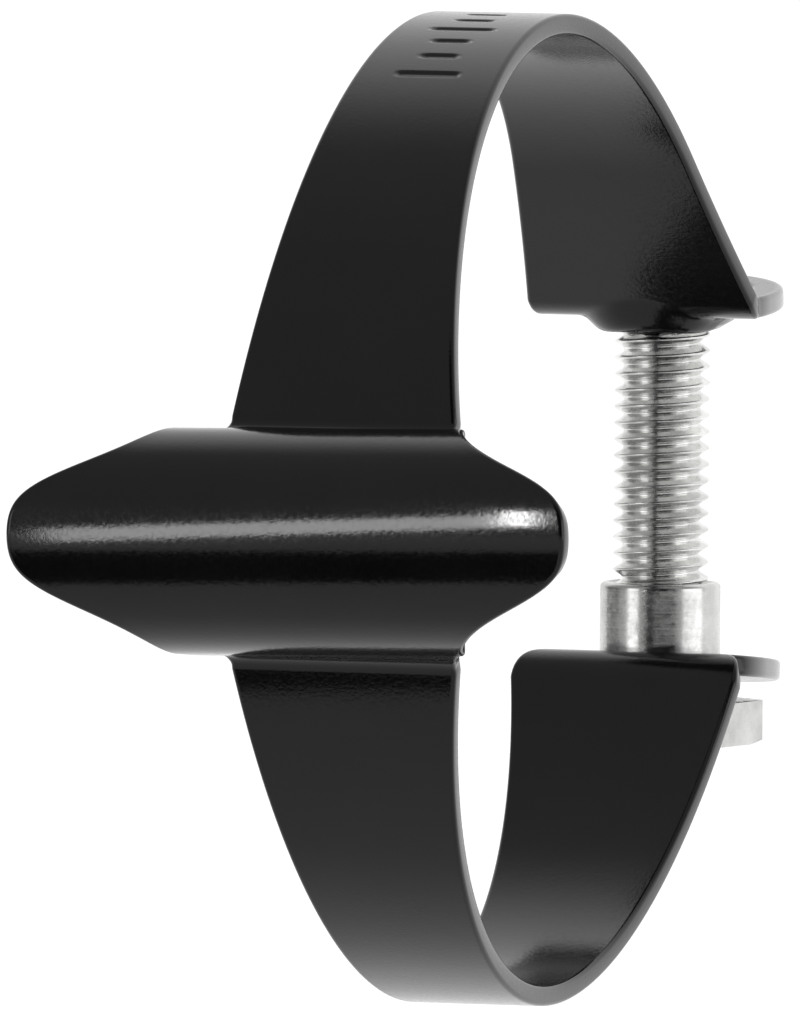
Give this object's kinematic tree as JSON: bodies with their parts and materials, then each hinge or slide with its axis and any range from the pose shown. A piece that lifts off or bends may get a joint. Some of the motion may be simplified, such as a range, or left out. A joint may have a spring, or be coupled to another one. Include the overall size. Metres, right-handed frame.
{
  "type": "bicycle cable housing clamp",
  "caption": "Clamp-on cable guide for a 28.6 mm tube: steel band with an arched housing channel, closed by a countersunk screw and a barrel nut.",
  "frame": {"origin": "centre of the tube bore, midway along the band", "axes": "X along the clamped tube, -Y towards the housing channel, +Y towards the ears, +Z along the clamp screw towards its head"},
  "size_m": [0.0174, 0.0406, 0.0298],
  "materials": {
    "black_paint": "gloss black paint on stamped steel",
    "bright_steel": "bright plated steel"
  },
  "bodies": {
    "band": {"clamp_band": "black_paint"},
    "screw": {"clamp_screw": "bright_steel"},
    "nut": {"barrel_nut": "bright_steel"}
  },
  "joints": [
    {"name": "screw_turn", "type": "hinge", "parent": "band", "child": "screw", "pos_m": [0, 0.0168, 0], "axis": [0, 0, 1], "range_deg": [-270, 1800]},
    {"name": "nut_travel", "type": "slide", "parent": "band", "child": "nut", "axis": [0, 0, 1], "range_m": [-0.0025, 0.00038]}
  ],
  "couplings": [
    {"joint": "screw_turn", "follows": "nut_travel", "rad_per_m": -12566}
  ]
}
